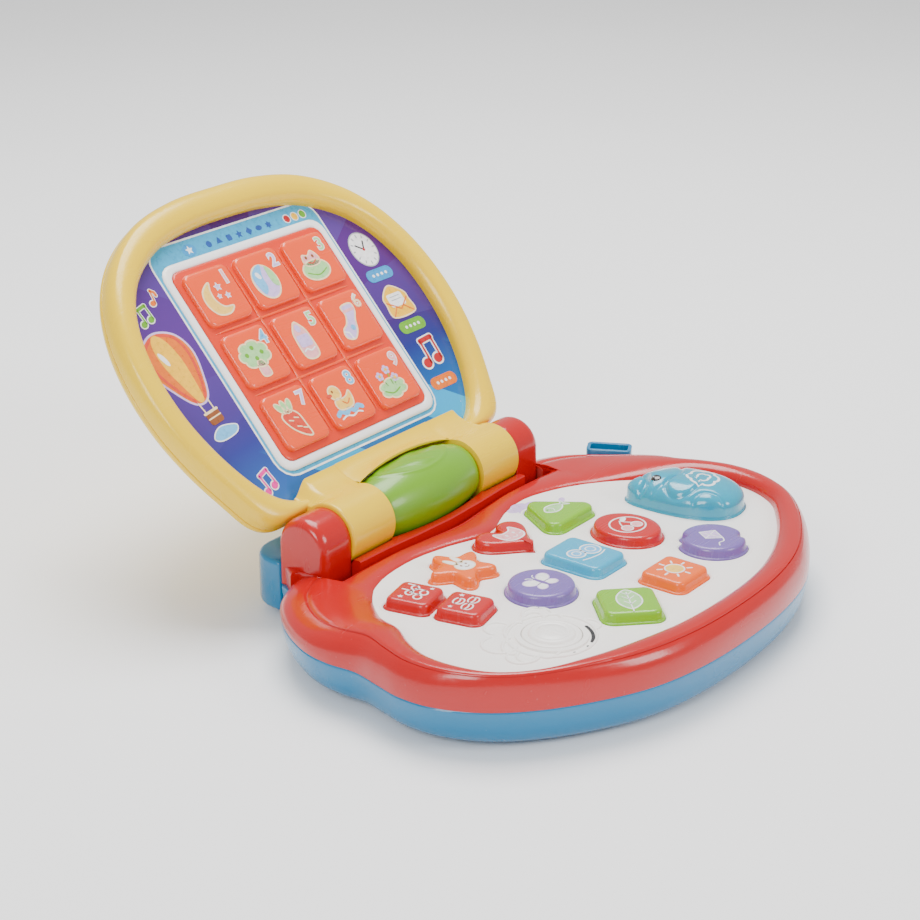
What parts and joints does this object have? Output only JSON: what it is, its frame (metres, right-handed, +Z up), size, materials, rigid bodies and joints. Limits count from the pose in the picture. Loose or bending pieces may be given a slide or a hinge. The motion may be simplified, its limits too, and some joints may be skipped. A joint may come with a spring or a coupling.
{
  "type": "toy laptop computer",
  "caption": "Toddler's toy laptop: a base with shape buttons, a dial and an animal-shaped mouse key, and a tiled picture-screen lid on a barrel hinge.",
  "frame": {"origin": "centre of the open toy's footprint box, on the table plane under its rubber feet", "axes": "+X to the user's right along the hinge, +Y from the user towards the opened lid, +Z up"},
  "size_m": [0.2822, 0.3325, 0.1769],
  "materials": {
    "blue_shell": "gloss moulded ABS",
    "red_shell": "gloss moulded ABS",
    "white_plate": "fine satin moulded ABS",
    "yellow_shell": "gloss moulded ABS",
    "green_cover": "satin moulded ABS with a raised pattern",
    "orange_key": "gloss moulded ABS with a white print",
    "red_key": "gloss moulded ABS with a white print",
    "green_key": "gloss moulded ABS with a pale print",
    "purple_key": "gloss moulded ABS with a white print",
    "sky_key": "gloss moulded ABS with a pale print",
    "sky_mouse": "gloss, slightly translucent moulded ABS",
    "screen_print": "printed panel, purple to blue",
    "window_white": "white printed border",
    "orange_window": "translucent orange tiles",
    "inner_plastic": "natural moulded plastic",
    "battery_sleeve": "plain battery sleeve",
    "circuit_board": "solder mask",
    "chip_black": "black",
    "lamp": "diffused lamp",
    "silicone": "silicone rubber",
    "grey_rubber": "soft rubber",
    "steel": "plated steel"
  },
  "bodies": {
    "base": {"base_bottom_shell": "blue_shell", "carry_handle": "blue_shell", "strap_loop": "blue_shell", "battery_door": "blue_shell", "base_top_shell": "red_shell", "hinge_cradle": "red_shell", "keyboard_plate": "white_plate", "rubber_feet": "grey_rubber", "battery_door_screw": "steel", "base_screws": "steel", "hinge_pin_left": "steel", "hinge_pin_right": "steel", "battery_contacts": "steel", "batteries": "battery_sleeve", "battery_box": "inner_plastic", "main_circuit_board": "circuit_board", "sound_chip": "chip_black", "key_membrane": "silicone", "speaker_frame": "steel", "speaker_cone": "chip_black", "hinge_cover": "green_cover"},
    "lid": {"lid_front_bezel": "yellow_shell", "lid_back_shell": "yellow_shell", "screen_panel": "screen_print", "window_frame": "window_white", "screen_window": "orange_window", "light_diffuser": "inner_plastic", "light_board": "circuit_board", "screen_lights": "lamp", "lid_screws": "steel"},
    "star_button": {"star_button": "orange_key"},
    "heart_button": {"heart_button": "red_key"},
    "triangle_button": {"triangle_button": "green_key"},
    "circle_button": {"circle_button": "purple_key"},
    "rectangle_button": {"rectangle_button": "sky_key"},
    "oval_button": {"oval_button": "red_key"},
    "diamond_button": {"diamond_button": "green_key"},
    "square_button": {"square_button": "orange_key"},
    "moon_button": {"moon_button": "purple_key"},
    "music_key_back": {"music_key_back": "red_key"},
    "music_key_front": {"music_key_front": "red_key"},
    "mouse_key": {"mouse_key": "sky_mouse"},
    "volume_dial": {"volume_dial": "white_plate"}
  },
  "joints": [
    {"name": "lid_hinge", "type": "hinge", "parent": "base", "child": "lid", "pos_m": [0, 0.02741, 0.042], "axis": [1, 0, 0], "range_deg": [0, 130.5]},
    {"name": "star_button_press", "type": "slide", "parent": "base", "child": "star_button", "axis": [0, 0, -1], "range_m": [0, 0.0022], "stiffness_N_per_m": 400, "springref_m": -0.001},
    {"name": "heart_button_press", "type": "slide", "parent": "base", "child": "heart_button", "axis": [0, 0, -1], "range_m": [0, 0.0022], "stiffness_N_per_m": 400, "springref_m": -0.001},
    {"name": "triangle_button_press", "type": "slide", "parent": "base", "child": "triangle_button", "axis": [0, 0, -1], "range_m": [0, 0.0022], "stiffness_N_per_m": 400, "springref_m": -0.001},
    {"name": "circle_button_press", "type": "slide", "parent": "base", "child": "circle_button", "axis": [0, 0, -1], "range_m": [0, 0.0022], "stiffness_N_per_m": 400, "springref_m": -0.001},
    {"name": "rectangle_button_press", "type": "slide", "parent": "base", "child": "rectangle_button", "axis": [0, 0, -1], "range_m": [0, 0.0022], "stiffness_N_per_m": 400, "springref_m": -0.001},
    {"name": "oval_button_press", "type": "slide", "parent": "base", "child": "oval_button", "axis": [0, 0, -1], "range_m": [0, 0.0022], "stiffness_N_per_m": 400, "springref_m": -0.001},
    {"name": "diamond_button_press", "type": "slide", "parent": "base", "child": "diamond_button", "axis": [0, 0, -1], "range_m": [0, 0.0022], "stiffness_N_per_m": 400, "springref_m": -0.001},
    {"name": "square_button_press", "type": "slide", "parent": "base", "child": "square_button", "axis": [0, 0, -1], "range_m": [0, 0.0022], "stiffness_N_per_m": 400, "springref_m": -0.001},
    {"name": "moon_button_press", "type": "slide", "parent": "base", "child": "moon_button", "axis": [0, 0, -1], "range_m": [0, 0.0022], "stiffness_N_per_m": 400, "springref_m": -0.001},
    {"name": "music_key_back_press", "type": "slide", "parent": "base", "child": "music_key_back", "axis": [0, 0, -1], "range_m": [0, 0.0022], "stiffness_N_per_m": 400, "springref_m": -0.001},
    {"name": "music_key_front_press", "type": "slide", "parent": "base", "child": "music_key_front", "axis": [0, 0, -1], "range_m": [0, 0.0022], "stiffness_N_per_m": 400, "springref_m": -0.001},
    {"name": "mouse_press", "type": "slide", "parent": "base", "child": "mouse_key", "axis": [0, 0, -1], "range_m": [0, 0.0022], "stiffness_N_per_m": 600, "springref_m": -0.0012},
    {"name": "dial_turn", "type": "hinge", "parent": "base", "child": "volume_dial", "pos_m": [-0.071, -0.10558, 0.0315], "axis": [0, 0, 1], "range_deg": [-40, 40]}
  ]
}
